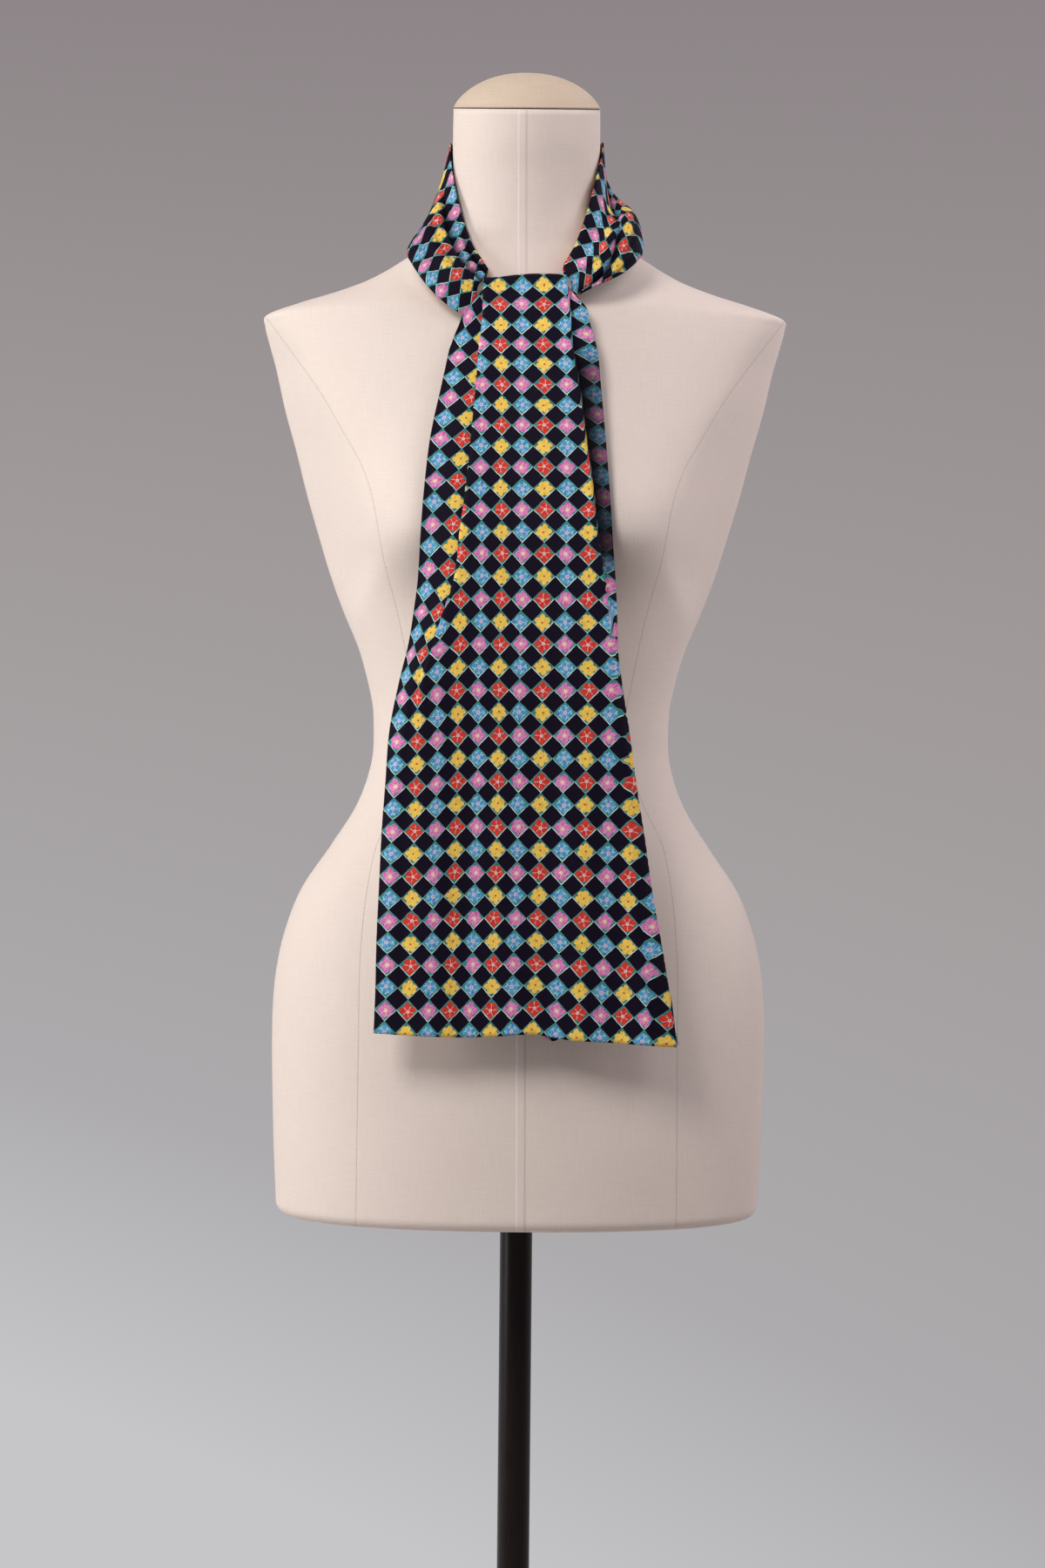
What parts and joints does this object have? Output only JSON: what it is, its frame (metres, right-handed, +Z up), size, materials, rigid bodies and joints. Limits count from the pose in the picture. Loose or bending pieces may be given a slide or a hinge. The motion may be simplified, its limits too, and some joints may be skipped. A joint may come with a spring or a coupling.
{
  "type": "cravat on dress form stand",
  "caption": "Printed silk cravat, crossed once at the throat and falling as a pleated front panel, on a limbless dress form with a pole and a round base.",
  "frame": {"origin": "on the floor, under the middle of the pole and of the round base", "axes": "+Z up along the pole, -Y towards the front of the form, +X to the right as seen from the front"},
  "size_m": [0.406, 0.35, 1.5996],
  "materials": {
    "silk": "satin",
    "form_linen": "matte",
    "cap_linen": "matte",
    "stand_metal": "satin"
  },
  "bodies": {
    "root": {"base_plate": "stand_metal", "pole": "stand_metal", "form_body": "form_linen", "neck_cap": "cap_linen", "front_apron": "silk", "under_end": "silk", "neck_wrap_left": "silk", "neck_wrap_right": "silk", "neck_wrap_back": "silk"}
  },
  "joints": []
}
